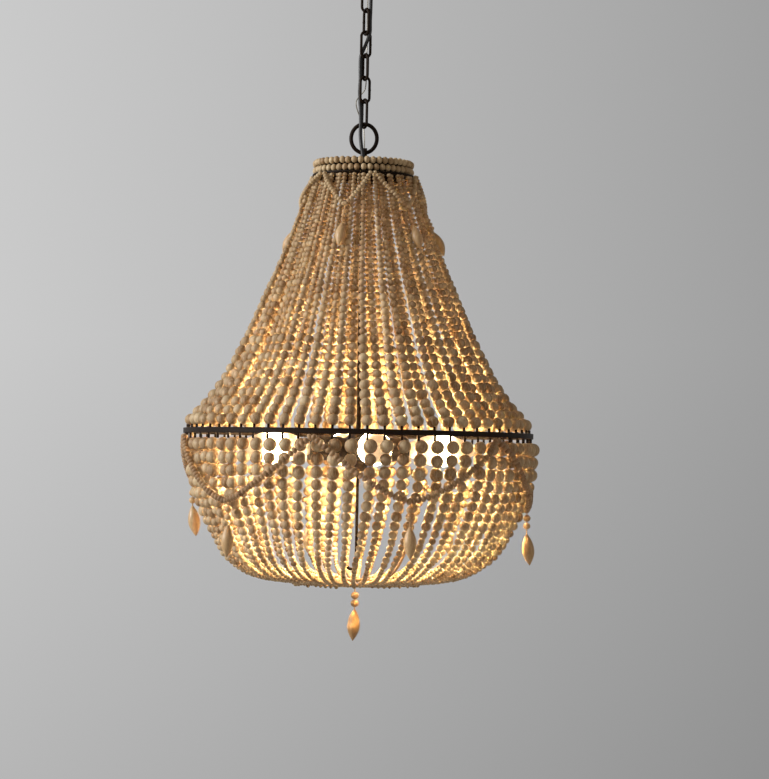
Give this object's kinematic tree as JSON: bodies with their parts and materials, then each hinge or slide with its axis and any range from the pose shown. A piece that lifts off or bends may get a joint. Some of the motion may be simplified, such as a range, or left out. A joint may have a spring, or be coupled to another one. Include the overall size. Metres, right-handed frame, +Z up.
{
  "type": "beaded chandelier",
  "caption": "Hanging lamp of wooden bead strands: a flared tent over a rounded bowl, bead swags with spindle drops, black hoops, candle lamps inside, on a chain from a ceiling canopy.",
  "frame": {"origin": "the middle of the ceiling plate's flat top face, where the lamp meets the ceiling", "axes": "+Z points up into the ceiling and the whole lamp hangs along -Z; +X is across the front, to the viewer's right in the picture; the viewer stands on the -Y side"},
  "size_m": [0.3829, 0.3872, 0.7623],
  "materials": {
    "black_metal": "satin black paint",
    "sand_metal": "matt paint in the beads' colour",
    "bead_wood": "turned and sanded, clear matt",
    "drop_wood": "turned, satin lacquer",
    "black_plastic": "moulded, fine grain",
    "warm_glass": "opal candle bulb, lit",
    "cord_sheath": "flexible sheath",
    "tinned_wire": "bare tinned copper strand"
  },
  "bodies": {
    "ceiling_mount": {"ceiling_plate": "black_metal", "threaded_nipple": "black_metal", "canopy_cover": "black_metal", "canopy_loop": "black_metal", "supply_cord": "cord_sheath", "earth_wire": "tinned_wire"},
    "link_6": {"chain_link_6": "black_metal"},
    "link_5": {"chain_link_5": "black_metal"},
    "link_4": {"chain_link_4": "black_metal"},
    "link_3": {"chain_link_3": "black_metal"},
    "link_2": {"chain_link_2": "black_metal"},
    "link_1": {"chain_link_1": "black_metal"},
    "ring": {"hanging_ring": "black_metal"},
    "fixture": {"ring_knuckle": "black_metal", "crown_cap": "black_metal", "crown_nut": "black_metal", "band_beads": "bead_wood", "equator_hoop": "black_metal", "bottom_hoop": "sand_metal", "upper_strands_1": "bead_wood", "upper_strands_2": "bead_wood", "upper_strands_3": "bead_wood", "upper_strands_4": "bead_wood", "upper_strands_5": "bead_wood", "upper_strands_6": "bead_wood", "lower_strands_1": "bead_wood", "lower_strands_2": "bead_wood", "lower_strands_3": "bead_wood", "lower_strands_4": "bead_wood", "lower_strands_5": "bead_wood", "lower_strands_6": "bead_wood", "frame_rib_1": "sand_metal", "frame_rib_2": "sand_metal", "frame_rib_3": "sand_metal", "stem": "black_metal", "lamp_hub": "black_plastic", "hook_rod": "black_metal", "crown_swags": "bead_wood", "bowl_swags": "bead_wood", "lampholder_1": "black_plastic", "lampholder_2": "black_plastic", "lampholder_3": "black_plastic", "lampholder_4": "black_plastic"},
    "bulb_1": {"bulb_1": "warm_glass"},
    "bulb_2": {"bulb_2": "warm_glass"},
    "bulb_3": {"bulb_3": "warm_glass"},
    "bulb_4": {"bulb_4": "warm_glass"},
    "crown_drop_1": {"crown_drop_1": "drop_wood"},
    "crown_drop_2": {"crown_drop_2": "drop_wood"},
    "crown_drop_3": {"crown_drop_3": "drop_wood"},
    "crown_drop_4": {"crown_drop_4": "drop_wood"},
    "crown_drop_5": {"crown_drop_5": "drop_wood"},
    "crown_drop_6": {"crown_drop_6": "drop_wood"},
    "bowl_drop_1": {"bowl_drop_1": "drop_wood"},
    "bowl_drop_2": {"bowl_drop_2": "drop_wood"},
    "bowl_drop_3": {"bowl_drop_3": "drop_wood"},
    "bowl_drop_4": {"bowl_drop_4": "drop_wood"},
    "bowl_drop_5": {"bowl_drop_5": "drop_wood"},
    "bowl_drop_6": {"bowl_drop_6": "drop_wood"},
    "finial": {"finial_drop": "drop_wood"}
  },
  "joints": [
    {"name": "link_6_swing", "type": "hinge", "parent": "ceiling_mount", "child": "link_6", "pos_m": [0, 0, -0.0688], "axis": [-0.454, 0.891, 0], "range_deg": [-15, 15], "deforming": ["supply_cord", "earth_wire"]},
    {"name": "link_5_swing", "type": "hinge", "parent": "link_6", "child": "link_5", "pos_m": [0, 0, -0.09255], "axis": [0.891, 0.454, 0], "range_deg": [-15, 15]},
    {"name": "link_4_swing", "type": "hinge", "parent": "link_5", "child": "link_4", "pos_m": [0, 0, -0.11685], "axis": [-0.454, 0.891, 0], "range_deg": [-15, 15]},
    {"name": "link_3_swing", "type": "hinge", "parent": "link_4", "child": "link_3", "pos_m": [0, 0, -0.14115], "axis": [0.891, 0.454, 0], "range_deg": [-15, 15]},
    {"name": "link_2_swing", "type": "hinge", "parent": "link_3", "child": "link_2", "pos_m": [0, 0, -0.16545], "axis": [-0.454, 0.891, 0], "range_deg": [-15, 15]},
    {"name": "link_1_swing", "type": "hinge", "parent": "link_2", "child": "link_1", "pos_m": [0, 0, -0.18975], "axis": [0.891, 0.454, 0], "range_deg": [-15, 15]},
    {"name": "ring_swing", "type": "hinge", "parent": "link_1", "child": "ring", "pos_m": [0, 0, -0.21675], "axis": [-0.454, 0.891, 0], "range_deg": [-15, 15]},
    {"name": "fixture_swing", "type": "hinge", "parent": "ring", "child": "fixture", "pos_m": [0, 0, -0.2437], "axis": [1, 0, 0], "range_deg": [-15, 15]},
    {"name": "bulb_1_screw", "type": "hinge", "parent": "fixture", "child": "bulb_1", "pos_m": [0.00763, -0.03927, -0.559], "axis": [0.1908, -0.9816, 0], "range_deg": [0, 720]},
    {"name": "bulb_2_screw", "type": "hinge", "parent": "fixture", "child": "bulb_2", "pos_m": [0.03927, 0.00763, -0.559], "axis": [0.9816, 0.1908, 0], "range_deg": [0, 720]},
    {"name": "bulb_3_screw", "type": "hinge", "parent": "fixture", "child": "bulb_3", "pos_m": [-0.00763, 0.03927, -0.559], "axis": [-0.1908, 0.9816, 0], "range_deg": [0, 720]},
    {"name": "bulb_4_screw", "type": "hinge", "parent": "fixture", "child": "bulb_4", "pos_m": [-0.03927, -0.00763, -0.559], "axis": [-0.9816, -0.1908, 0], "range_deg": [0, 720]},
    {"name": "crown_drop_1_swing", "type": "hinge", "parent": "fixture", "child": "crown_drop_1", "pos_m": [-0.01875, -0.06762, -0.3096], "axis": [-0.9636, 0.2672, 0], "range_deg": [0, 50]},
    {"name": "crown_drop_2_swing", "type": "hinge", "parent": "fixture", "child": "crown_drop_2", "pos_m": [0.04785, -0.05132, -0.3096], "axis": [-0.7314, -0.6819, 0], "range_deg": [0, 50]},
    {"name": "crown_drop_3_swing", "type": "hinge", "parent": "fixture", "child": "crown_drop_3", "pos_m": [0.0691, 0.01218, -0.3096], "axis": [0.1736, -0.9848, 0], "range_deg": [0, 50]},
    {"name": "crown_drop_4_swing", "type": "hinge", "parent": "fixture", "child": "crown_drop_4", "pos_m": [0.024, 0.06594, -0.3096], "axis": [0.9397, -0.342, 0], "range_deg": [0, 50]},
    {"name": "crown_drop_5_swing", "type": "hinge", "parent": "fixture", "child": "crown_drop_5", "pos_m": [-0.03076, 0.06307, -0.3096], "axis": [0.8988, 0.4384, 0], "range_deg": [0, 50]},
    {"name": "crown_drop_6_swing", "type": "hinge", "parent": "fixture", "child": "crown_drop_6", "pos_m": [-0.06634, 0.02284, -0.3096], "axis": [0.3255, 0.9455, 0], "range_deg": [0, 50]},
    {"name": "bowl_drop_1_swing", "type": "hinge", "parent": "fixture", "child": "bowl_drop_1", "pos_m": [-0.13038, -0.11941, -0.6186], "axis": [-0.6639, 0.7478, 0], "range_deg": [-15, 60]},
    {"name": "bowl_drop_2_swing", "type": "hinge", "parent": "fixture", "child": "bowl_drop_2", "pos_m": [0.05256, -0.17465, -0.6156], "axis": [-0.9636, -0.2672, 0], "range_deg": [-15, 60]},
    {"name": "bowl_drop_3_swing", "type": "hinge", "parent": "fixture", "child": "bowl_drop_3", "pos_m": [0.17844, -0.03075, -0.6246], "axis": [-0.1736, -0.9848, 0], "range_deg": [-15, 60]},
    {"name": "bowl_drop_4_swing", "type": "hinge", "parent": "fixture", "child": "bowl_drop_4", "pos_m": [0.10154, 0.15006, -0.6206], "axis": [0.8387, -0.5446, 0], "range_deg": [-15, 60]},
    {"name": "bowl_drop_5_swing", "type": "hinge", "parent": "fixture", "child": "bowl_drop_5", "pos_m": [-0.05387, 0.1683, -0.6226], "axis": [0.9455, 0.3256, 0], "range_deg": [-15, 60]},
    {"name": "bowl_drop_6_swing", "type": "hinge", "parent": "fixture", "child": "bowl_drop_6", "pos_m": [-0.17746, 0.04193, -0.6026], "axis": [0.225, 0.9744, 0], "range_deg": [-15, 60]},
    {"name": "finial_swing", "type": "hinge", "parent": "fixture", "child": "finial", "pos_m": [-0.0006, 0, -0.6867], "axis": [1, 0, 0], "range_deg": [-35, 35]}
  ]
}
